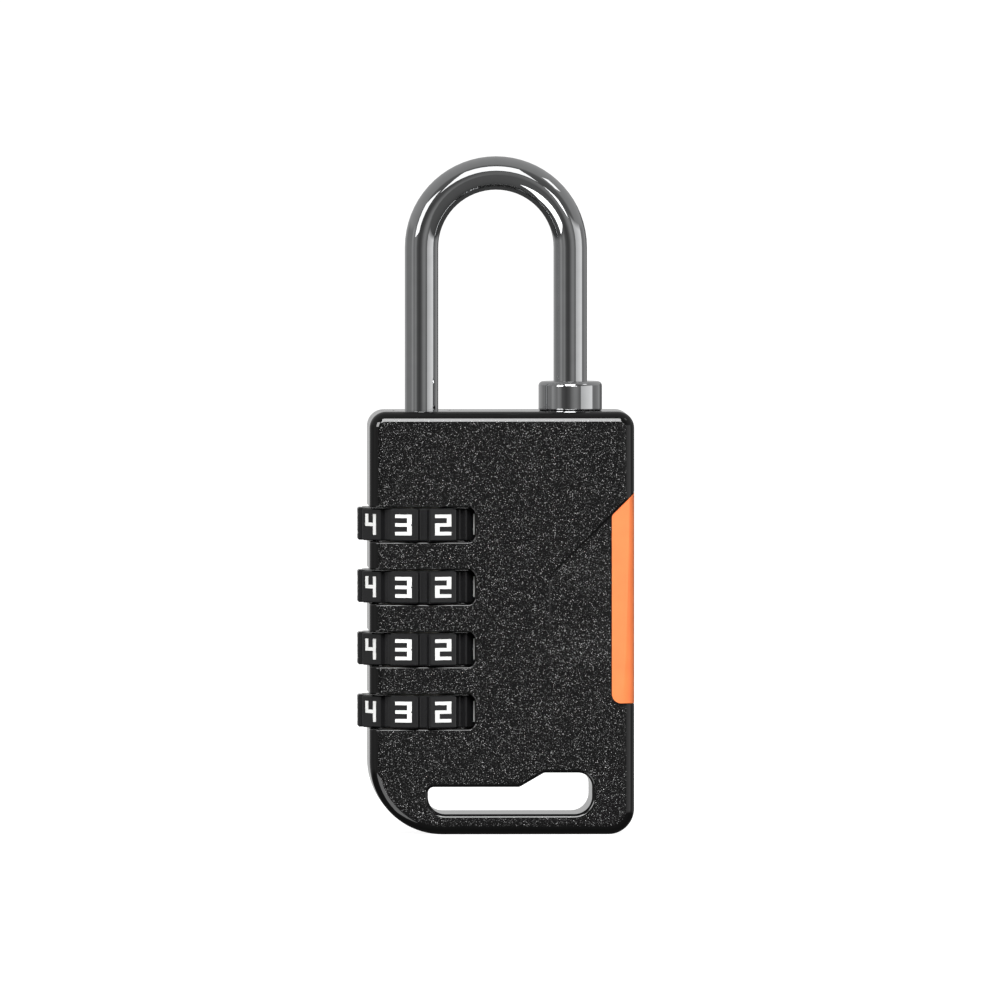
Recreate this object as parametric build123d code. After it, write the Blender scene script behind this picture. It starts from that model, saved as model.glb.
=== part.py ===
"""Four-dial combination padlock with a chrome shackle, modelled piece by piece.

Frame: millimetres, +Z up. The front of the lock faces -Y and +X is to its right.
The origin is the middle of the flat bottom face of the lock body.
"""
from build123d import *
import math
import os

# Lock body
body_width = 40.0
body_depth = 17.2
top_corner_radius = 2.5
bottom_right_radius = 3.9
bottom_left_radius = 11.0
face_edge_radius = 1.8
parting_groove_width = 0.16
parting_groove_depth = 0.15

# Hanging slot through the foot of the body, taller on its right-hand side
slot_floor = 3.1
slot_low_height = 4.1
slot_tall_height = 6.25
slot_left_inset = 8.8
slot_right_inset = 6.42
slot_step_inset = 13.66
slot_step_run = 3.7
slot_top_left_radius = 0.9
slot_bottom_left_radius = 2.6
slot_top_right_radius = 2.1
slot_bottom_right_radius = 2.65
slot_edge_radius = 0.6
slot_roof_wall = 1.8

# Shackle
shackle_diameter = 5.08
shackle_rise = 24.63          # from the top of the body to the centre of the bow
toe_depth = 2.4               # how far the short leg reaches below the top of the body
toe_inset = 9.44              # short leg axis from the right side of the body
leg_end_chamfer = 0.5
leg_tail = 0.57               # long leg below its lowest fin

# Fins on the long leg, one under each cam sleeve
fin_radius = 4.0
fin_width = 1.6
fin_height = 1.8
fin_gap = 0.2                 # fin to sleeve, along the leg
fin_side_clearance = 0.15
fin_tip_clearance = 0.2
fin_chamber_clearance = 0.3
lift_stop_gap = 0.06

# Dials
dial_count = 4
facet_count = 10
dial_pitch = 9.42
dial_width = 4.9
dial_front_proud = 1.11       # pad face beyond the front of the body
dial_side_proud = 1.64        # pad face beyond the left side of the body
pad_width = 4.4
groove_depth = 0.85           # from the pad face to the floor of the grooves
pad_edge_radius = 0.26
groove_floor_radius = 0.3
dial_rim_chamfer = 0.2

# Dial windows
dial_side_gap = 0.15
dial_tip_clearance = 0.3
window_reach = 7.8            # window end from the dial axis
window_corner_radius = 1.0
window_rim_radius = 0.25

# Cam sleeves keyed into the dials
sleeve_radius = 5.5
sleeve_proud = 0.05
sleeve_key_height = 0.5
sleeve_key_width = 0.9
running_clearance = 0.05

# Click ball and spring under each dial
ball_radius = 0.75
ball_hole_clearance = 0.05
ball_hole_depth = 2.6
ball_proud = 0.55             # ball above the floor of the window
ball_track_radius = 7.3       # from the dial axis
ball_track_clearance = 0.1
dimple_depth = 0.15
click_spring_radius = 0.5
click_wire_radius = 0.1
click_spring_turns = 4

# Lift spring and its seat
lift_spring_length = 3.9
lift_spring_radius = 1.75
lift_wire_radius = 0.25
lift_spring_turns = 4
spring_seat_thickness = 0.6
spring_seat_bore = 1.0

# Guide bushing of the long leg and collar of the short leg
bushing_length = 12.5
bushing_wall = 1.86
bushing_chamfer = 0.2
collar_radius = 4.81
collar_height = 4.4
collar_edge_radius = 0.7
collar_foot_radius = 0.3
collar_spigot_radius = 4.0
collar_spigot_length = 5.5
collar_floor = 0.6            # gap under the toe of the shackle
toe_clearance = 0.1
collar_mouth_chamfer = 0.25

# Coloured insert around the right-hand edge
insert_reach = 3.42           # from the right side of the body
insert_bottom = 19.84
insert_top = 51.63            # where its sloping top meets the right side of the body
insert_corner_radius = 1.4
insert_shoulder_radius = 0.9   # where its sloping top meets its left edge
insert_wall = 1.2
insert_seam = 0.12
insert_peg_radius = 1.1
insert_peg_length = 2.0
insert_peg_inset = 8.0        # peg axis from the ends of the insert

# Shallow wedge-shaped panel that fades out towards the foot
panel_reach = 12.9            # from the right side of the body
panel_lead = 0.45             # sloping edge of the panel above the insert's top, which it runs beside
panel_depth = 0.35
panel_fade_bottom = 22.0
panel_corner_radius = 2.0
panel_step_run = 0.42         # width of the sloping step around the panel

# Dowels between the two half shells
dowel_radius = 1.0
dowel_length = 7.0
dowel_end_gap = 0.2
dowel_side_inset = 1.9        # left-hand dowel from the left side of the body

# Places worked out from the driving sizes
half_width = body_width / 2
half_depth = body_depth / 2
leg_radius = shackle_diameter / 2
dial_apothem = half_depth + dial_front_proud
dial_tip_radius = math.hypot(dial_apothem, pad_width / 2)
dial_axis_x = -half_width + dial_apothem - dial_side_proud
toe_axis_x = half_width - toe_inset
sleeve_height = dial_width + 2 * sleeve_proud
window_height = dial_width + 2 * dial_side_gap
fin_chamber_radius = fin_radius + fin_chamber_clearance
slot_roof = slot_floor + slot_low_height
chamber_floor = slot_roof + slot_roof_wall
leg_end = chamber_floor + spring_seat_thickness + lift_spring_length
lowest_fin_top = leg_end + leg_tail + fin_height
lowest_dial_z = lowest_fin_top + fin_gap + sleeve_height / 2
dial_heights = [lowest_dial_z + (dial_count - 1 - i) * dial_pitch for i in range(dial_count)]
bushing_bottom = dial_heights[0] + sleeve_height / 2 + fin_gap + fin_height + lift_stop_gap
body_height = bushing_bottom + bushing_length
bushing_radius = leg_radius + bushing_wall
bow_centre_z = body_height + shackle_rise
lift_travel = sleeve_height + fin_height + 2 * fin_gap
beyond = body_width + body_height
touching = 0.001


def slab(outline, front, back):
    """Solid between two Y values from an outline drawn with its Y axis along Z."""
    return extrude(Plane.XZ.offset(-front) * outline, front - back)


def round_corners(outline, corners):
    """Outline with the listed corners rounded; each one is (x, z, radius)."""
    for x, z, radius in corners:
        corner = min(outline.vertices(), key=lambda v: math.hypot(v.X - x, v.Y - z))
        outline = fillet(corner, radius)
    return outline


def upright(radius, bottom, top, x, y=0.0):
    """Cylinder about a vertical axis."""
    return Pos(x, y, (bottom + top) / 2) * Cylinder(radius, top - bottom)


def coil(mean_radius, wire_radius, bottom, top, turns, x):
    """Open helical spring whose end turns are centred on the two heights."""
    path = Pos(x, 0, bottom) * Helix(pitch=(top - bottom) / turns, height=top - bottom, radius=mean_radius)
    section = Plane(origin=path @ 0, z_dir=path % 0) * Circle(wire_radius)
    return sweep(section, path=path, is_frenet=True)


def body_outline():
    """Front view of the body, with a large corner at its lower left."""
    outline = Pos(0, body_height / 2) * Rectangle(body_width, body_height)
    return round_corners(outline, [
        (-half_width, body_height, top_corner_radius),
        (half_width, body_height, top_corner_radius),
        (half_width, 0, bottom_right_radius),
        (-half_width, 0, bottom_left_radius),
    ])


def slot_outline():
    """Front view of the hanging slot."""
    left = -half_width + slot_left_inset
    right = half_width - slot_right_inset
    step_end = half_width - slot_step_inset
    high = slot_floor + slot_tall_height
    outline = make_face(Polyline(
        (left, slot_floor), (right, slot_floor), (right, high), (step_end, high),
        (step_end - slot_step_run, slot_roof), (left, slot_roof), close=True))
    return round_corners(outline, [
        (left, slot_floor, slot_bottom_left_radius),
        (right, slot_floor, slot_bottom_right_radius),
        (right, high, slot_top_right_radius),
        (step_end, high, slot_top_left_radius),
        (step_end - slot_step_run, slot_roof, slot_top_left_radius),
        (left, slot_roof, slot_top_left_radius),
    ])


def slope_height(x):
    """Height at x of the 45 degree line along the insert's top."""
    return insert_top - (half_width - x)


def panel_cutter(side):
    """Wedge cut from one large face; side is -1 for the front and 1 for the back."""
    left = half_width - panel_reach
    past = half_width + face_edge_radius
    corner = slope_height(left) + panel_lead
    outline = make_face(Polyline(
        (left, panel_fade_bottom), (past, panel_fade_bottom),
        (past, slope_height(past) + panel_lead), (left, corner), close=True))
    outline = round_corners(outline, [(left, corner, panel_corner_radius)])
    step_angle = math.degrees(math.atan2(panel_step_run, panel_depth))
    pocket = extrude(Plane.XZ.offset(half_depth) * outline, -panel_depth, taper=step_angle)
    wedge = extrude(Plane.YZ * make_face(Polyline(
        (-half_depth - 1, panel_fade_bottom), (-half_depth, panel_fade_bottom),
        (-half_depth + panel_depth, insert_top), (-half_depth - 1, insert_top), close=True)),
        beyond, both=True)
    cutter = pocket & wedge
    return cutter if side < 0 else mirror(cutter, about=Plane.XZ)


def body_envelope():
    """Outer form of the whole body, with the hanging slot and both shallow panels."""
    block = slab(body_outline(), -half_depth, half_depth)
    faces = block.faces().sort_by(Axis.Y)
    block = fillet(faces[0].edges() + faces[-1].edges(), face_edge_radius)
    block -= slab(slot_outline(), -beyond, beyond)
    rims = [edge for face in block.faces().filter_by(Axis.Y)
            for wire in face.inner_wires() for edge in wire.edges()]
    block = fillet(rims, slot_edge_radius)
    return block - panel_cutter(-1) - panel_cutter(1)


def insert_outline(seam):
    """Front view of the insert, grown by a seam where its pocket is cut."""
    left = half_width - insert_reach - seam
    past = half_width + insert_reach
    bottom = insert_bottom - seam
    rise = seam * math.sqrt(2)
    outline = make_face(Polyline(
        (left, bottom), (past, bottom), (past, slope_height(past) + rise),
        (left, slope_height(left) + rise), close=True))
    return round_corners(outline, [
        (left, bottom, insert_corner_radius + seam),
        (left, slope_height(left) + rise, insert_shoulder_radius + seam),
    ])


def insert_core():
    """Part of the body that the insert wraps around."""
    depth = 2 * (half_depth - insert_wall)
    return Pos(half_width - insert_wall - beyond / 2, 0, beyond / 2) * Box(beyond, depth, 2 * beyond)


def insert_pegs():
    """Two pegs on the inside of the insert that locate it between the half shells."""
    base = half_width - insert_wall
    pegs = []
    for z in (insert_bottom + insert_peg_inset, insert_top - insert_peg_inset):
        pegs.append(Pos(base - insert_peg_length / 2, 0, z) * Rot(0, 90, 0)
                    * Cylinder(insert_peg_radius, insert_peg_length))
    return pegs


def side_insert(envelope):
    """Moulded insert with a C-shaped section around the right-hand edge."""
    insert = (envelope & slab(insert_outline(0), -half_depth, half_depth)) - insert_core()
    for peg in insert_pegs():
        insert += peg
    return insert


def dowel_places():
    """X and Z of each dowel between the half shells."""
    core_right = half_width - insert_reach - insert_peg_length
    return [
        ((dial_axis_x + toe_axis_x) / 2, (bushing_bottom + body_height) / 2),
        (core_right - 2 * dowel_radius, dial_heights[0]),
        (core_right - 2 * dowel_radius, slot_floor + slot_tall_height + 4 * dowel_radius),
        (-half_width + dowel_side_inset, (chamber_floor + dial_heights[-1] - window_height / 2) / 2),
    ]


def dowels(length):
    """Dowels, or the holes for them, lying along Y across the parting plane."""
    return [Pos(x, 0, z) * Rot(90, 0, 0) * Cylinder(dowel_radius, length) for x, z in dowel_places()]


def cut_windows(body):
    """Body with a through window for each dial, its rims rounded on both large faces."""
    left = -half_width - 2 * dial_side_proud
    right = dial_axis_x + window_reach
    for z in dial_heights:
        top, bottom = z + window_height / 2, z - window_height / 2
        opening = Pos((left + right) / 2, z) * Rectangle(right - left, window_height)
        opening = round_corners(opening, [
            (right, top, window_corner_radius), (right, bottom, window_corner_radius)])
        body -= slab(opening, -beyond, beyond)
    rims = [edge for edge in body.edges()
            if abs(abs(edge.center().Y) - half_depth) < touching
            and edge.bounding_box().max.X < right + touching
            and any(abs(edge.center().Z - z) < window_height / 2 + touching for z in dial_heights)]
    return fillet(rims, window_rim_radius)


def inner_cutters():
    """Bores for the long leg, its fins, the bushing, the collar, the dials and the click balls."""
    cutters = [
        upright(fin_chamber_radius, chamber_floor, bushing_bottom, dial_axis_x),
        upright(bushing_radius, bushing_bottom, beyond, dial_axis_x),
        upright(collar_spigot_radius, body_height - collar_spigot_length, beyond, toe_axis_x),
    ]
    chamber_radius = dial_tip_radius + dial_tip_clearance
    for z in dial_heights:
        floor, roof = z - window_height / 2, z + window_height / 2
        cutters.append(upright(chamber_radius, floor, roof, dial_axis_x))
        cutters.append(upright(ball_radius + ball_hole_clearance, floor - ball_hole_depth, floor,
                               dial_axis_x + ball_track_radius))
    return cutters + dowels(dowel_length + 2 * dowel_end_gap) + insert_pegs()


def parting_groove():
    """Fine groove around the outside where the two half shells meet."""
    half = parting_groove_width / 2
    return (slab(offset(body_outline(), 1), -half, half)
            - slab(offset(body_outline(), -parting_groove_depth), -half, half))


def half_shells(envelope):
    """Front and back die-cast shells, split at the middle of the body's depth."""
    body = cut_windows(envelope - (slab(insert_outline(insert_seam), -beyond, beyond) - insert_core()))
    for cutter in inner_cutters():
        body -= cutter
    body -= parting_groove()
    half_space = Box(2 * beyond, beyond, 4 * beyond)
    front = body & Pos(0, -beyond / 2, 0) * half_space
    back = body & Pos(0, beyond / 2, 0) * half_space
    return front, back


def shackle():
    """U-shaped shackle with a long leg that carries one fin under each cam sleeve."""
    bow_x = (dial_axis_x + toe_axis_x) / 2
    bow_radius = (toe_axis_x - dial_axis_x) / 2
    toe_end = body_height - toe_depth
    section = Plane.XY.offset(bow_centre_z) * Pos(dial_axis_x, 0) * Circle(leg_radius)
    bow = revolve(section, axis=Axis((bow_x, 0, bow_centre_z), (0, 1, 0)), revolution_arc=180)
    long_leg = upright(leg_radius, leg_end, bow_centre_z, dial_axis_x)
    long_leg = chamfer(long_leg.edges().sort_by(Axis.Z)[0], leg_end_chamfer)
    toe_leg = upright(leg_radius, toe_end, bow_centre_z, toe_axis_x)
    toe_leg = chamfer(toe_leg.edges().sort_by(Axis.Z)[0], leg_end_chamfer)
    piece = long_leg + bow + toe_leg
    for z in dial_heights:
        top = z - sleeve_height / 2 - fin_gap
        blade = Pos(dial_axis_x + fin_radius / 2, 0, top - fin_height / 2) * Box(
            fin_radius, fin_width, fin_height)
        piece += blade & upright(fin_radius, top - fin_height, top, dial_axis_x)
    return piece


def sleeve_section():
    """Outside of a cam sleeve, with one key for each facet of the dial."""
    section = Circle(sleeve_radius)
    reach = sleeve_radius + sleeve_key_height
    for i in range(facet_count):
        section += Rot(0, 0, i * 360 / facet_count) * Pos(reach / 2, 0) * Rectangle(reach, sleeve_key_width)
    return section


def cam_sleeve(z):
    """Sleeve that blocks the fin below it unless its gate is turned to the fin."""
    place = Pos(dial_axis_x, 0, z - sleeve_height / 2)
    gate_reach = fin_radius + fin_tip_clearance
    gate = Pos(gate_reach / 2, 0, sleeve_height / 2) * Box(
        gate_reach, fin_width + 2 * fin_side_clearance, 2 * sleeve_height)
    sleeve = extrude(sleeve_section(), sleeve_height)
    sleeve -= Pos(0, 0, sleeve_height / 2) * Cylinder(leg_radius + running_clearance, 2 * sleeve_height)
    return place * (sleeve - gate)


def dial_section():
    """Ten flat pads with grooves between them; a groove faces straight to the front."""
    section = Circle(dial_apothem - groove_depth)
    step = 360 / facet_count
    for i in range(facet_count):
        pad = Pos(dial_apothem / 2, 0) * Rectangle(dial_apothem, pad_width)
        section += Rot(0, 0, i * step) * pad
    floor = dial_apothem - groove_depth
    tips = [v for v in section.vertices() if math.hypot(v.X, v.Y) > (floor + dial_tip_radius) / 2]
    section = fillet(tips, pad_edge_radius)
    roots = [v for v in section.vertices() if math.hypot(v.X, v.Y) < floor + groove_floor_radius / 4]
    floor_width = 2 * floor * (math.radians(step / 2) - math.asin(pad_width / 2 / floor))
    return fillet(roots, min(groove_floor_radius, 0.4 * floor_width))


def dial_ring(z):
    """Moulded dial with numeral pads, a keyed bore and a click track in its lower face."""
    ring = extrude(dial_section(), dial_width)
    flat_ends = ring.faces().filter_by(Axis.Z)
    ring = chamfer([edge for face in flat_ends for edge in face.outer_wire().edges()], dial_rim_chamfer)
    ring -= extrude(sleeve_section(), dial_width)
    intrusion = ball_proud - dial_side_gap
    track_depth = intrusion + ball_track_clearance
    track = (Cylinder(ball_track_radius + ball_radius + ball_hole_clearance, 2 * track_depth)
             - Cylinder(ball_track_radius - ball_radius - ball_hole_clearance, 2 * track_depth))
    ring -= track
    for i in range(facet_count):
        height = track_depth + dimple_depth - ball_radius
        ring -= Rot(0, 0, i * 360 / facet_count) * Pos(ball_track_radius, 0, height) * Sphere(ball_radius)
    return Pos(dial_axis_x, 0, z - dial_width / 2) * ring


def click_ball(z):
    """Steel ball that clicks into the dimples of the dial above it."""
    centre = z - window_height / 2 + ball_proud - ball_radius
    return Pos(dial_axis_x + ball_track_radius, 0, centre) * Sphere(ball_radius)


def click_spring(z):
    """Small spring that pushes a click ball up."""
    floor = z - window_height / 2
    reach = math.sqrt((ball_radius + click_wire_radius) ** 2 - click_spring_radius ** 2)
    top = floor + ball_proud - ball_radius - reach
    bottom = floor - ball_hole_depth + click_wire_radius
    return coil(click_spring_radius, click_wire_radius, bottom, top, click_spring_turns,
                dial_axis_x + ball_track_radius)


def guide_bushing():
    """Bushing that guides the long leg and stops its top fin when the shackle is raised."""
    bushing = upright(bushing_radius, bushing_bottom, body_height, dial_axis_x)
    bushing = chamfer(bushing.edges().sort_by(Axis.Z)[-1], bushing_chamfer)
    return bushing - upright(leg_radius + running_clearance, 0, beyond, dial_axis_x)


def toe_collar():
    """Chrome collar, closed at the bottom, that holds the toe of the shackle."""
    head = upright(collar_radius, body_height, body_height + collar_height, toe_axis_x)
    head = fillet(head.edges().sort_by(Axis.Z)[-1], collar_edge_radius)
    head = fillet(head.edges().sort_by(Axis.Z)[0], collar_foot_radius)
    spigot = upright(collar_spigot_radius, body_height - collar_spigot_length, body_height, toe_axis_x)
    bore_radius = leg_radius + toe_clearance
    bore = upright(bore_radius, body_height - toe_depth - collar_floor, beyond, toe_axis_x)
    mouth_z = body_height + collar_height - collar_mouth_chamfer / 2
    mouth = Pos(toe_axis_x, 0, mouth_z) * Cone(
        bore_radius, bore_radius + collar_mouth_chamfer, collar_mouth_chamfer)
    return head + spigot - bore - mouth


def spring_seat():
    """Washer under the lift spring."""
    seat = upright(fin_chamber_radius, chamber_floor, chamber_floor + spring_seat_thickness, dial_axis_x)
    return seat - upright(spring_seat_bore, 0, beyond, dial_axis_x)


def lift_spring():
    """Spring that raises the shackle when all four gates line up."""
    bottom = chamber_floor + spring_seat_thickness + lift_wire_radius
    return coil(lift_spring_radius, lift_wire_radius, bottom, leg_end - lift_wire_radius,
                lift_spring_turns, dial_axis_x)


def build():
    """All sub-parts by node name."""
    envelope = body_envelope()
    front, back = half_shells(envelope)
    parts = {
        "front_shell": front,
        "back_shell": back,
        "shell_dowels": Compound(children=dowels(dowel_length)),
        "side_insert": side_insert(envelope),
        "guide_bushing": guide_bushing(),
        "toe_collar": toe_collar(),
        "shackle": shackle(),
        "lift_spring": lift_spring(),
        "spring_seat": spring_seat(),
    }
    for i, z in enumerate(dial_heights, start=1):
        parts[f"dial_ring_{i}"] = dial_ring(z)
        parts[f"cam_sleeve_{i}"] = cam_sleeve(z)
        parts[f"click_ball_{i}"] = click_ball(z)
        parts[f"click_spring_{i}"] = click_spring(z)
    return parts


os.makedirs("parts", exist_ok=True)
for name, solid in build().items():
    export_step(solid, f"parts/{name}.step")
bow_top = bow_centre_z + (toe_axis_x - dial_axis_x) / 2 + leg_radius
print(f"body {body_width} x {body_depth} x {body_height:.2f}, top {bow_top:.2f}")
print(f"lift travel {lift_travel:.2f}, dials at {[round(z, 2) for z in dial_heights]}")
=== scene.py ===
"""Combination padlock: finishes, dial numerals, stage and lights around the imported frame.

Everything is in metres in the frame of the CAD model, whose front faces -Y.
"""

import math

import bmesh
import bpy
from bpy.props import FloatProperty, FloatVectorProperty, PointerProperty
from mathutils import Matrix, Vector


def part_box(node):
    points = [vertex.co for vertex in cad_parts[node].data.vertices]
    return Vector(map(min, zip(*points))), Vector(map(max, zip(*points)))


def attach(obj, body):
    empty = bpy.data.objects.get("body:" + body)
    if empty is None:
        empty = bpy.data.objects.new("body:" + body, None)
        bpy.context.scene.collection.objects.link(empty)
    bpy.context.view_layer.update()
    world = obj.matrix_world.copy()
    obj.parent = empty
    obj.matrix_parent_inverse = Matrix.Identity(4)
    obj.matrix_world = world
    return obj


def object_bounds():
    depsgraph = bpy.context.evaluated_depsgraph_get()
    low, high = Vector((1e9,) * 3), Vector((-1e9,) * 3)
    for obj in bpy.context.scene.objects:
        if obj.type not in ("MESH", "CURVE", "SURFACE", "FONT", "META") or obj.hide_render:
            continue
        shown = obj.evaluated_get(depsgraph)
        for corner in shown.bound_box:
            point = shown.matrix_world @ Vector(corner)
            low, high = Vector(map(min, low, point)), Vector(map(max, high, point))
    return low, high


bl_info = {
    "name": "Combination Padlock",
    "version": (1, 0, 0),
    "blender": (4, 5, 0),
    "location": "3D View > Sidebar > Padlock",
    "description": "Dresses the padlock with its finishes, numerals, stage and lights",
    "category": "Object",
}

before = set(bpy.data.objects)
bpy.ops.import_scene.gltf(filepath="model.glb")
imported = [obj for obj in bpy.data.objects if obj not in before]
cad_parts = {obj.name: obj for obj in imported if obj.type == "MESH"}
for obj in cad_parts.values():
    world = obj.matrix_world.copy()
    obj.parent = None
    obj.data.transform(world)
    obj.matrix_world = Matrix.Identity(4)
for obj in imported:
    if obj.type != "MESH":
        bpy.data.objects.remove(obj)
CAD_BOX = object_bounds()

MM = 0.001
DIALS = (1, 2, 3, 4)
STEP = math.radians(36)        # one of ten facets
NOTCH_ASPECT = 1.4             # height of the notch in the three over its depth
ALONG = 0.99                   # cosine above which an edge counts as running straight outward
SHARP = 1.0                    # smallest angle in radians of an edge that is rounded
FLOOR_RADIUS = 20.0
FLOOR_GAP = 0.02 * MM          # keeps the floor clear of the lock's underside

# Numeral at each facet, counted anticlockwise seen from above, from the pad just left of the front
# groove
FACET_DIGITS = "3210987654"

# Squared numerals drawn as filled cells, top row first: uprights in the outer columns, crossbars in
# the first, middle and last rows
DIGIT_CELLS = {
    "0": ("###", "#.#", "#.#", "#.#", "###"),
    "2": ("###", "..#", "###", "#..", "###"),
    "4": ("#.#", "#.#", "###", "..#", "..#"),
    "5": ("###", "#..", "###", "..#", "###"),
    "6": ("###", "#..", "###", "#.#", "###"),
    "7": ("###", "..#", "..#", "..#", "..#"),
    "8": ("###", "#.#", "###", "#.#", "###"),
    "9": ("###", "#.#", "###", "..#", "###"),
}


def linear(hex_code):
    """Linear RGBA from an sRGB hex colour such as #1A2B3C."""
    channels = [int(hex_code[i:i + 2], 16) / 255 for i in (1, 3, 5)]
    return tuple(c / 12.92 if c <= 0.04045 else ((c + 0.055) / 1.055) ** 2.4 for c in channels) + (1.0,)


def colour(name, description, hex_code):
    """Colour property whose default is an sRGB hex colour."""
    return FloatVectorProperty(name=name, description=description, subtype="COLOR", size=4,
                               min=0.0, max=1.0, default=linear(hex_code))


def length(name, description, millimetres):
    """Length property whose default is given in millimetres."""
    return FloatProperty(name=name, description=description, unit="LENGTH", precision=5,
                         default=millimetres * MM)


class NumeralSettings(bpy.types.PropertyGroup):
    """Sizes of the numerals on the dials."""
    height: length("Height", "Height of a numeral", 3.14)
    width: length("Width", "Width of a numeral", 2.6)
    upright: length("Upright", "Width of an upright stroke", 0.72)
    crossbar: length("Crossbar", "Height of a crossbar", 0.52)
    corner: length("Corner", "Radius of the stroke corners", 0.13)
    notch: length("Notch", "Depth of the small notch in the back of the three", 0.14)
    proud: length("Proud", "Height of the paint above its pad", 0.02)
    depth: length("Depth", "Thickness of the paint fill", 0.08)


class FinishSettings(bpy.types.PropertyGroup):
    """Colours and grain sizes of the finishes."""
    enamel_dark: colour("Enamel", "Black between the flakes of the enamel", "#090909")
    enamel_flake: colour("Flake", "Brightest metal flake in the enamel", "#EBEBEB")
    flake_size: length("Flake size", "Spacing of the metal flakes", 0.13)
    chrome: colour("Chrome", "Plated chrome", "#CACBCC")
    dial: colour("Dial", "Moulded dial plastic", "#1C1C1D")
    accent: colour("Accent", "Moulded insert", "#FF8547")
    numeral: colour("Numeral", "Paint in the numerals", "#F4F4F2")
    brass: colour("Brass", "Nickel-plated cam sleeves", "#B4B1A6")
    steel: colour("Steel", "Pins, balls and springs", "#A9ABAE")


class StageSettings(bpy.types.PropertyGroup):
    """Camera and light of the stage."""
    azimuth: FloatProperty(name="Azimuth", description="Camera angle around the lock, from its front",
                           unit="ROTATION", default=math.radians(-1.8))
    elevation: FloatProperty(name="Elevation", description="Camera angle above the horizon",
                             unit="ROTATION", default=math.radians(1.7))
    distance: length("Distance", "Camera to the middle of the view", 6000.0)
    view_height: length("View height", "Height of the view at the lock", 149.66)
    aim_x: length("Aim X", "Sideways place of the middle of the view", -0.82)
    aim_z: length("Aim Z", "Height of the middle of the view", 51.07)
    key_radiance: FloatProperty(name="Key", description="Brightness of the main softbox", default=13.5)


def add_node(tree, kind, inputs=None, **settings):
    """Adds a node, sets its properties, and sets or links its inputs."""
    node = tree.nodes.new(kind)
    for name, value in settings.items():
        setattr(node, name, value)
    for key, value in (inputs or {}).items():
        if isinstance(value, bpy.types.NodeSocket):
            tree.links.new(value, node.inputs[key])
        else:
            node.inputs[key].default_value = value
    return node


def new_material(name, build):
    """Material whose surface shader comes from build(tree, object coordinates)."""
    material = bpy.data.materials.new(name)
    material.use_nodes = True
    tree = material.node_tree
    tree.nodes.clear()
    point = add_node(tree, "ShaderNodeTexCoord").outputs["Object"]
    shader = build(tree, point)
    add_node(tree, "ShaderNodeOutputMaterial", {"Surface": shader.outputs[0]})
    return material


def ramp(tree, factor, stops):
    """Colour ramp node with (position, colour) stops."""
    node = add_node(tree, "ShaderNodeValToRGB", {"Fac": factor})
    elements = node.color_ramp.elements
    while len(elements) < len(stops):
        elements.new(0.5)
    for element, (position, value) in zip(elements, stops):
        element.position = position
        element.color = value
    return node


def grey(value):
    """Opaque linear grey."""
    return (value, value, value, 1.0)


def scaled(rgba, factor):
    """Colour made lighter or darker."""
    return tuple(min(1.0, c * factor) for c in rgba[:3]) + (1.0,)


def metal_flake_enamel(look):
    """Metal-flake enamel, sprayed on die-cast zinc under a clear coat: near-black with bright grains."""
    def build(tree, point):
        # Real flakes are often 0.05 to 0.1 mm: these are drawn coarser, so that each one shows
        cells = add_node(tree, "ShaderNodeTexVoronoi", {
            "Vector": point, "Scale": 1 / look.flake_size, "Randomness": 0.85})
        lot = add_node(tree, "ShaderNodeSeparateColor", {"Color": cells.outputs["Color"]}).outputs["Red"]
        tones = ramp(tree, lot, [
            (0.0, scaled(look.enamel_flake, 0.01)), (0.6, scaled(look.enamel_flake, 0.04)),
            (0.88, scaled(look.enamel_flake, 0.25)), (1.0, look.enamel_flake)])
        # Each flake is a small dot in its cell, so that none runs into the next
        dot = add_node(tree, "ShaderNodeMapRange", {
            "Value": cells.outputs["Distance"], "From Min": 0.45, "From Max": 0.25}).outputs["Result"]
        flakes = add_node(tree, "ShaderNodeMix", {
            "Factor": dot, 6: look.enamel_dark, 7: tones.outputs["Color"]}, data_type="RGBA")
        # Painted shade: the flakes are left out on the rounded edges and on the sloped wall of the recessed
        # panel, which are painted plain gloss black for the shade there. The sum of the fourth powers of
        # the normal's parts is 1 on a flat face and falls to 0.5 halfway round an edge
        normal = add_node(tree, "ShaderNodeTexCoord").outputs["Normal"]
        squares = add_node(tree, "ShaderNodeVectorMath", {0: normal, 1: normal},
                           operation="MULTIPLY").outputs[0]
        flatness = add_node(tree, "ShaderNodeVectorMath", {0: squares, 1: squares}, operation="DOT_PRODUCT")
        painted_edge_shade_mask = add_node(tree, "ShaderNodeMapRange", {
            "Value": flatness.outputs["Value"], "From Min": 0.8, "From Max": 0.97}).outputs["Result"]
        # Painted shade: plain enamel black stands in for the flakes on the edges and slopes
        paint = add_node(tree, "ShaderNodeMix", {
            "Factor": painted_edge_shade_mask, 6: look.enamel_dark, 7: flakes.outputs[2]}, data_type="RGBA")
        peel = add_node(tree, "ShaderNodeTexNoise", {
            "Vector": point, "Scale": 1 / (1.5 * MM), "Detail": 2.0})
        coat_bump = add_node(tree, "ShaderNodeBump", {
            "Height": peel.outputs["Fac"], "Strength": 0.06, "Distance": 0.03 * MM})
        tilt = add_node(tree, "ShaderNodeBump", {
            "Height": lot, "Strength": 0.2, "Distance": 0.03 * MM})
        return add_node(tree, "ShaderNodeBsdfPrincipled", {
            "Base Color": paint.outputs[2], "Roughness": 0.5, "IOR": 1.5, "Specular IOR Level": 0.0,
            "Coat Weight": 1.0, "Coat Roughness": 0.02, "Normal": tilt.outputs["Normal"],
            "Coat Normal": coat_bump.outputs["Normal"]})
    return new_material("metal_flake_enamel_sprayed", build)


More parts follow.
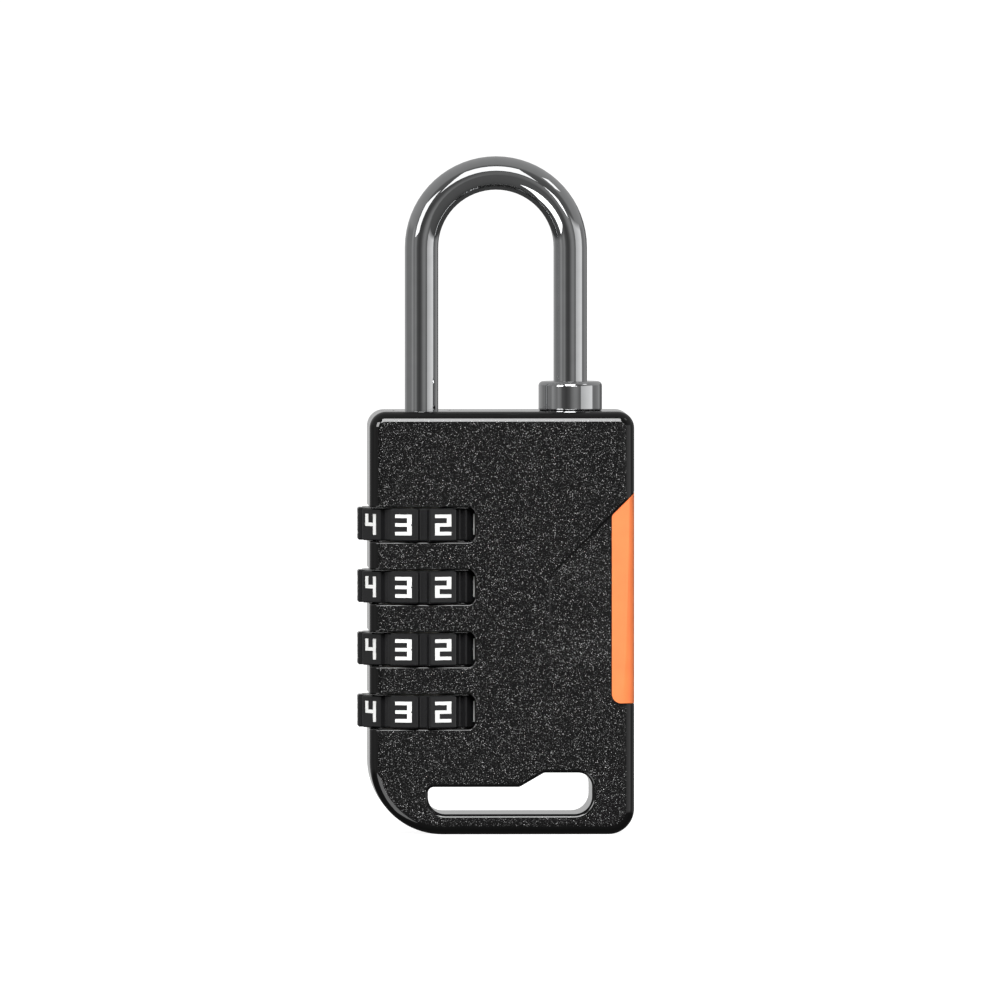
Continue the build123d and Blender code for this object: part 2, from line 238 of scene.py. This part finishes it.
def chrome_plate(look):
    """Decorative chrome, plated on polished steel: a mirror with a faint polishing haze."""
    def build(tree, point):
        haze = add_node(tree, "ShaderNodeTexNoise", {
            "Vector": point, "Scale": 1 / (2.0 * MM), "Detail": 4.0})
        roughness = add_node(tree, "ShaderNodeMapRange", {
            "Value": haze.outputs["Fac"], "To Min": 0.01, "To Max": 0.035})
        waviness = add_node(tree, "ShaderNodeTexNoise", {
            "Vector": point, "Scale": 1 / (4.0 * MM), "Detail": 1.0})
        bump = add_node(tree, "ShaderNodeBump", {
            "Height": waviness.outputs["Fac"], "Strength": 0.04, "Distance": 0.05 * MM})
        tint = ramp(tree, haze.outputs["Fac"], [(0.3, look.chrome), (0.7, scaled(look.chrome, 0.94))])
        return add_node(tree, "ShaderNodeBsdfPrincipled", {
            "Base Color": tint.outputs["Color"], "Metallic": 1.0, "Roughness": roughness.outputs["Result"],
            "Normal": bump.outputs["Normal"]})
    return new_material("decorative_chrome_plated", build)


def moulded_plastic(name, base, roughness, grain_mm, bump_strength):
    """Thermoplastic moulded in a lightly spark-textured tool: even colour with a fine satin grain."""
    def build(tree, point):
        cloud = add_node(tree, "ShaderNodeTexNoise", {
            "Vector": point, "Scale": 1 / (3.0 * MM), "Detail": 3.0})
        tint = ramp(tree, cloud.outputs["Fac"], [(0.3, scaled(base, 0.94)), (0.7, scaled(base, 1.04))])
        grain = add_node(tree, "ShaderNodeTexNoise", {
            "Vector": point, "Scale": 1 / (grain_mm * MM), "Detail": 2.0})
        bump = add_node(tree, "ShaderNodeBump", {
            "Height": grain.outputs["Fac"], "Strength": bump_strength, "Distance": 0.02 * MM})
        sheen = add_node(tree, "ShaderNodeMapRange", {
            "Value": grain.outputs["Fac"], "To Min": roughness - 0.04, "To Max": roughness + 0.05})
        return add_node(tree, "ShaderNodeBsdfPrincipled", {
            "Base Color": tint.outputs["Color"], "Roughness": sheen.outputs["Result"], "IOR": 1.53,
            "Normal": bump.outputs["Normal"]})
    return new_material(name, build)


def machined_metal(name, base, roughness, groove_mm):
    """Bare metal turned, drawn or ground: fine tool rings along Z in a satin surface."""
    def build(tree, point):
        height = add_node(tree, "ShaderNodeSeparateXYZ", {"Vector": point}).outputs["Z"]
        rings = add_node(tree, "ShaderNodeTexNoise", {
            "W": height, "Scale": 1 / (groove_mm * MM), "Detail": 2.0}, noise_dimensions="1D")
        tint = ramp(tree, rings.outputs["Fac"], [(0.3, scaled(base, 0.82)), (0.7, base)])
        bump = add_node(tree, "ShaderNodeBump", {
            "Height": rings.outputs["Fac"], "Strength": 0.3, "Distance": 0.01 * MM})
        return add_node(tree, "ShaderNodeBsdfPrincipled", {
            "Base Color": tint.outputs["Color"], "Metallic": 1.0, "Roughness": roughness,
            "Normal": bump.outputs["Normal"]})
    return new_material(name, build)


def dress(nodes, material):
    """Gives every material slot of the named CAD nodes one material."""
    for name in nodes:
        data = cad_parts[name].data
        if not data.materials:
            data.materials.append(material)
        for i in range(len(data.materials)):
            data.materials[i] = material


def digit_grid(digit, sizes):
    """Column widths, row heights and filled cells of one numeral."""
    gap = (sizes.height - 3 * sizes.crossbar) / 2
    rows = [sizes.crossbar, gap, sizes.crossbar, gap, sizes.crossbar]
    columns = [sizes.upright, sizes.width - 2 * sizes.upright, sizes.upright]
    if digit == "1":
        return [sizes.upright], rows, ("#",) * len(rows)
    if digit == "3":
        notch_row = sizes.notch * NOTCH_ASPECT
        half_bar = (sizes.crossbar - notch_row) / 2
        rows = [sizes.crossbar, gap, half_bar, notch_row, half_bar, gap, sizes.crossbar]
        columns[-1] -= sizes.notch
        columns.append(sizes.notch)
        return columns, rows, ("####", "..##", "####", "###.", "####", "..##", "####")
    return columns, rows, DIGIT_CELLS[digit]


def add_digit(mesh, digit, sizes, centre, right, out):
    """Adds one closed numeral plate to a bmesh; its face stands proud of the pad by sizes.proud."""
    columns, rows, cells = digit_grid(digit, sizes)
    xs = [sum(columns[:i]) - sum(columns) / 2 for i in range(len(columns) + 1)]
    zs = [sum(rows) / 2 - sum(rows[:i]) for i in range(len(rows) + 1)]
    corners = {}

    def corner(i, j, level):
        key = (i, j, level)
        if key not in corners:
            lift = sizes.proud - level * sizes.depth
            corners[key] = mesh.verts.new(centre + right * xs[i] + Vector((0, 0, zs[j])) + out * lift)
        return corners[key]

    def filled(i, j):
        return 0 <= j < len(cells) and 0 <= i < len(cells[j]) and cells[j][i] == "#"

    for j, row in enumerate(cells):
        for i in range(len(row)):
            if not filled(i, j):
                continue
            ring = [(i, j + 1), (i + 1, j + 1), (i + 1, j), (i, j)]
            mesh.faces.new([corner(a, b, 0) for a, b in ring])
            mesh.faces.new([corner(a, b, 1) for a, b in reversed(ring)])
            sides = [(i, j + 1), (i + 1, j), (i, j - 1), (i - 1, j)]
            for k, side in enumerate(sides):
                if not filled(*side):
                    a, b = ring[k], ring[(k + 1) % 4]
                    mesh.faces.new([corner(*a, 1), corner(*b, 1), corner(*b, 0), corner(*a, 0)])
    posts = [edge for edge in mesh.edges
             if edge.verts[0] in corners.values() and edge.verts[1] in corners.values()
             and abs((edge.verts[0].co - edge.verts[1].co).normalized().dot(out)) > ALONG
             and len(edge.link_faces) == 2 and edge.calc_face_angle(0) > SHARP]
    bmesh.ops.bevel(mesh, geom=posts, offset=sizes.corner, segments=3, profile=0.5, affect="EDGES",
                    clamp_overlap=True)


def dial_numerals(index, sizes, material):
    """The ten painted numerals of one dial, as one piece that turns with it."""
    low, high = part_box(f"dial_ring_{index}")
    middle = (low + high) / 2
    apothem = (high.x - low.x) / 2
    mesh = bmesh.new()
    for k, digit in enumerate(FACET_DIGITS):
        angle = (k - 0.5) * STEP
        out = Vector((math.sin(angle), -math.cos(angle), 0))
        right = Vector((math.cos(angle), math.sin(angle), 0))
        add_digit(mesh, digit, sizes, middle + out * apothem, right, out)
    data = bpy.data.meshes.new(f"dial_numerals_{index}")
    mesh.to_mesh(data)
    mesh.free()
    data.materials.append(material)
    piece = bpy.data.objects.new(f"dial_numerals_{index}", data)
    bpy.context.scene.collection.objects.link(piece)
    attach(piece, f"dial_{index}")


class PADLOCK_OT_shells(bpy.types.Operator):
    """Paint the two half shells of the lock body"""
    bl_idname = "padlock.shells"
    bl_label = "Shells"

    def execute(self, context):
        dress(("front_shell", "back_shell"), metal_flake_enamel(context.scene.padlock_finish))
        return {"FINISHED"}


class PADLOCK_OT_chrome(bpy.types.Operator):
    """Plate the shackle, its collar and its bushing"""
    bl_idname = "padlock.chrome"
    bl_label = "Chrome parts"

    def execute(self, context):
        dress(("shackle", "toe_collar", "guide_bushing"), chrome_plate(context.scene.padlock_finish))
        return {"FINISHED"}


class PADLOCK_OT_insert(bpy.types.Operator):
    """Colour the moulded insert on the right-hand edge"""
    bl_idname = "padlock.insert"
    bl_label = "Side insert"

    def execute(self, context):
        look = context.scene.padlock_finish
        # Coloured ABS, moulded: strong even colour, soft highlights
        dress(("side_insert",), moulded_plastic("coloured_abs_moulded", look.accent, 0.38, 0.12, 0.15))
        return {"FINISHED"}


class PADLOCK_OT_dials(bpy.types.Operator):
    """Finish the dials and paint their numerals"""
    bl_idname = "padlock.dials"
    bl_label = "Dials and numerals"

    def execute(self, context):
        look = context.scene.padlock_finish
        # Black ABS, moulded and lightly polished: dark grey with soft vertical reflections on each pad
        dress([f"dial_ring_{i}" for i in DIALS],
              moulded_plastic("black_abs_polished", look.dial, 0.14, 0.1, 0.05))
        # Pad-printed enamel: opaque white with a slightly uneven film
        paint = moulded_plastic("white_enamel_pad_printed", look.numeral, 0.45, 0.2, 0.1)
        for index in DIALS:
            dial_numerals(index, context.scene.padlock_numerals, paint)
        return {"FINISHED"}


class PADLOCK_OT_mechanism(bpy.types.Operator):
    """Finish the sleeves, springs, balls and pins inside the body"""
    bl_idname = "padlock.mechanism"
    bl_label = "Mechanism"

    def execute(self, context):
        look = context.scene.padlock_finish
        # Free-cutting brass, turned, milled and nickel plated: warm grey with fine rings
        dress([f"cam_sleeve_{i}" for i in DIALS],
              machined_metal("brass_nickel_plated", look.brass, 0.28, 0.15))
        # Music wire, drawn
        dress(["lift_spring", "spring_seat"] + [f"click_spring_{i}" for i in DIALS],
              machined_metal("spring_steel_drawn", look.steel, 0.3, 0.1))
        # Bearing steel, ground
        dress(["shell_dowels"] + [f"click_ball_{i}" for i in DIALS],
              machined_metal("steel_ground", look.steel, 0.18, 0.05))
        return {"FINISHED"}


# Grey of the studio at the height of the lock, by compass angle in degrees from its front towards
# +X: bright behind, a dark gap in front, and a long window on the right
STUDIO_SIDES = (
    (-180, 0.55), (-150, 0.45), (-132, 0.36), (-118, 0.25), (-76, 0.26), (-69, 0.42), (-60, 0.3),
    (-52, 0.23), (-45, 0.32), (-37, 0.25), (-31, 0.11), (-16, 0.068), (-4, 0.11), (4, 0.22),
    (14, 0.31), (22, 0.3), (32, 0.18), (36.5, 0.18), (38, 0.68), (60, 0.9), (84, 1.1), (88, 0.25),
    (99, 0.24), (120, 0.33), (126, 0.43), (134, 0.25), (145, 0.12), (160, 0.2), (180, 0.55))

# Grey of the ceiling and of the ground, by distance from the front (0) to the back (1)
STUDIO_ABOVE = ((0.0, 0.1), (0.2, 0.14), (0.28, 0.3), (0.6, 0.36), (1.0, 0.45))
STUDIO_BELOW = ((0.0, 0.13), (0.25, 0.11), (0.5, 0.07), (1.0, 0.06))


def studio_world():
    """Grey studio around the lock, which only its reflections see; the camera sees plain white."""
    world = bpy.data.worlds.new("studio")
    world.use_nodes = True
    tree = world.node_tree
    tree.nodes.clear()
    axes = add_node(tree, "ShaderNodeSeparateXYZ", {
        "Vector": add_node(tree, "ShaderNodeTexCoord").outputs["Generated"]})
    ahead = add_node(tree, "ShaderNodeMath", {0: axes.outputs["Y"], 1: -1.0}, operation="MULTIPLY")
    angle = add_node(tree, "ShaderNodeMath", {0: axes.outputs["X"], 1: ahead.outputs[0]},
                     operation="ARCTAN2")
    turn = add_node(tree, "ShaderNodeMapRange", {
        "Value": angle.outputs[0], "From Min": -math.pi, "From Max": math.pi}).outputs["Result"]
    behind = add_node(tree, "ShaderNodeMapRange", {
        "Value": axes.outputs["Y"], "From Min": -1.0, "From Max": 1.0}).outputs["Result"]
    level = ramp(tree, turn, [((degrees + 180) / 360, grey(value)) for degrees, value in STUDIO_SIDES])
    above = ramp(tree, behind, [(place, grey(value)) for place, value in STUDIO_ABOVE])
    below = ramp(tree, behind, [(place, grey(value)) for place, value in STUDIO_BELOW])
    rise = add_node(tree, "ShaderNodeMapRange", {
        "Value": axes.outputs["Z"], "From Min": 0.17, "From Max": 0.25}).outputs["Result"]
    fall = add_node(tree, "ShaderNodeMapRange", {
        "Value": axes.outputs["Z"], "From Min": -0.13, "From Max": -0.21}).outputs["Result"]
    upper = add_node(tree, "ShaderNodeMix", {
        "Factor": rise, 6: level.outputs["Color"], 7: above.outputs["Color"]}, data_type="RGBA")
    around = add_node(tree, "ShaderNodeMix", {
        "Factor": fall, 6: upper.outputs[2], 7: below.outputs["Color"]}, data_type="RGBA")
    seen = add_node(tree, "ShaderNodeLightPath").outputs["Is Camera Ray"]
    view = add_node(tree, "ShaderNodeMix", {"Factor": seen, 6: around.outputs[2], 7: grey(1.0)},
                    data_type="RGBA")
    background = add_node(tree, "ShaderNodeBackground", {"Color": view.outputs[2], "Strength": 1.0})
    add_node(tree, "ShaderNodeOutputWorld", {"Surface": background.outputs[0]})
    bpy.context.scene.world = world


def studio_floor():
    """Plain white floor that fades into the background."""
    def build(tree, point):
        diffuse = add_node(tree, "ShaderNodeBsdfDiffuse", {"Color": grey(0.4)})
        glow = add_node(tree, "ShaderNodeEmission", {"Color": grey(1.0), "Strength": 0.95})
        return add_node(tree, "ShaderNodeAddShader", {0: diffuse.outputs[0], 1: glow.outputs[0]})
    mesh = bmesh.new()
    bmesh.ops.create_circle(mesh, cap_ends=True, segments=96, radius=FLOOR_RADIUS)
    data = bpy.data.meshes.new("floor")
    mesh.to_mesh(data)
    mesh.free()
    data.materials.append(new_material("floor_white", build))
    floor = bpy.data.objects.new("floor", data)
    bpy.context.scene.collection.objects.link(floor)
    floor.location.z = CAD_BOX[0][2] - FLOOR_GAP
    floor.visible_glossy = False
    floor.visible_diffuse = False
    floor.visible_shadow = False


# Azimuth, elevation, width and height in degrees of the two strong softboxes
KEY_PLACE = (-2, 34, 32, 30)
LEFT_PLACE = (-40, 17, 22, 22)
LEFT_RADIANCE = 10.0
CHROME_RADIANCE = 1.7          # of both, as the chrome sees them
SOFTBOX_DISTANCE = 2.0


def softbox(name, azimuth, elevation, width, height, radiance):
    """Rectangular softbox, unseen by the camera; its angles are in degrees."""
    distance = SOFTBOX_DISTANCE
    light = bpy.data.lights.new(name, "AREA")
    light.shape = "RECTANGLE"
    light.size = 2 * distance * math.tan(math.radians(width / 2))
    light.size_y = 2 * distance * math.tan(math.radians(height / 2))
    light.energy = radiance * math.pi * light.size * light.size_y
    lamp = bpy.data.objects.new(name, light)
    bpy.context.scene.collection.objects.link(lamp)
    turn, rise = math.radians(azimuth), math.radians(elevation)
    toward = Vector((math.sin(turn) * math.cos(rise), -math.cos(turn) * math.cos(rise), math.sin(rise)))
    lamp.location = Vector((0, 0, (CAD_BOX[0][2] + CAD_BOX[1][2]) / 2)) + toward * distance
    lamp.rotation_euler = (-toward).to_track_quat("-Z", "Y").to_euler()
    lamp.visible_camera = False
    return lamp


def share_light(lamp, objects, state):
    """Keeps a lamp to these objects (INCLUDE), or off them (EXCLUDE)."""
    group = bpy.data.collections.new(lamp.name + "_receivers")
    for item in objects:
        group.objects.link(item)
    for link in group.collection_objects:
        link.light_linking.link_state = state
    lamp.light_linking.receiver_collection = group


class PADLOCK_OT_stage(bpy.types.Operator):
    """Set the floor, the surroundings, the lights and the camera"""
    bl_idname = "padlock.stage"
    bl_label = "Stage"

    def execute(self, context):
        scene = context.scene
        stage = scene.padlock_stage
        studio_world()
        studio_floor()
        aim = Vector((stage.aim_x, 0, stage.aim_z))
        key = softbox("key", *KEY_PLACE, stage.key_radiance)
        # This one only glints in gloss, so the key stays the main light of the front
        left = softbox("left_window", *LEFT_PLACE, LEFT_RADIANCE)
        left.visible_diffuse = False
        # A full mirror would clip at the strong lamps' edges, so the chrome sees them dimmed
        chrome = [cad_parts["shackle"]]
        share_light(key, chrome, "EXCLUDE")
        share_light(left, chrome, "EXCLUDE")
        share_light(softbox("key_in_chrome", *KEY_PLACE, CHROME_RADIANCE), chrome, "INCLUDE")
        share_light(softbox("left_window_in_chrome", *LEFT_PLACE, CHROME_RADIANCE), chrome, "INCLUDE")
        softbox("left_low_window", -42, -30, 30, 38, 3.0)
        softbox("small_window", 19, 12, 8, 8, 3.0)
        softbox("high_window", 67, 45, 14, 12, 1.5)
        flat = math.cos(stage.elevation)
        toward = Vector((math.sin(stage.azimuth) * flat, -math.cos(stage.azimuth) * flat,
                         math.sin(stage.elevation)))
        data = bpy.data.cameras.new("camera")
        data.lens = data.sensor_width * stage.distance / stage.view_height
        data.clip_end = 4 * stage.distance
        data.clip_start = 0.1
        camera = bpy.data.objects.new("camera", data)
        scene.collection.objects.link(camera)
        camera.location = aim + toward * stage.distance
        camera.rotation_euler = (-toward).to_track_quat("-Z", "Y").to_euler()
        scene.camera = camera
        scene.view_settings.view_transform = "Standard"
        return {"FINISHED"}


OPERATORS = (PADLOCK_OT_shells, PADLOCK_OT_chrome, PADLOCK_OT_insert, PADLOCK_OT_dials,
             PADLOCK_OT_mechanism, PADLOCK_OT_stage)


class PADLOCK_PT_panel(bpy.types.Panel):
    """Sidebar panel that lists the steps"""
    bl_idname = "PADLOCK_PT_panel"
    bl_label = "Combination padlock"
    bl_space_type = "VIEW_3D"
    bl_region_type = "UI"
    bl_category = "Padlock"

    def draw(self, context):
        for operator in OPERATORS:
            self.layout.operator(operator.bl_idname)


SETTINGS = {"padlock_numerals": NumeralSettings, "padlock_finish": FinishSettings,
            "padlock_stage": StageSettings}


def register():
    for kind in (*SETTINGS.values(), *OPERATORS, PADLOCK_PT_panel):
        bpy.utils.register_class(kind)
    for name, kind in SETTINGS.items():
        setattr(bpy.types.Scene, name, PointerProperty(type=kind))


def unregister():
    for name in SETTINGS:
        delattr(bpy.types.Scene, name)
    for kind in reversed((*SETTINGS.values(), *OPERATORS, PADLOCK_PT_panel)):
        bpy.utils.unregister_class(kind)


def main():
    """Builds the whole scene."""
    register()
    for operator in OPERATORS:
        group, name = operator.bl_idname.split(".")
        getattr(getattr(bpy.ops, group), name)()


if __name__ == "__main__":
    main()
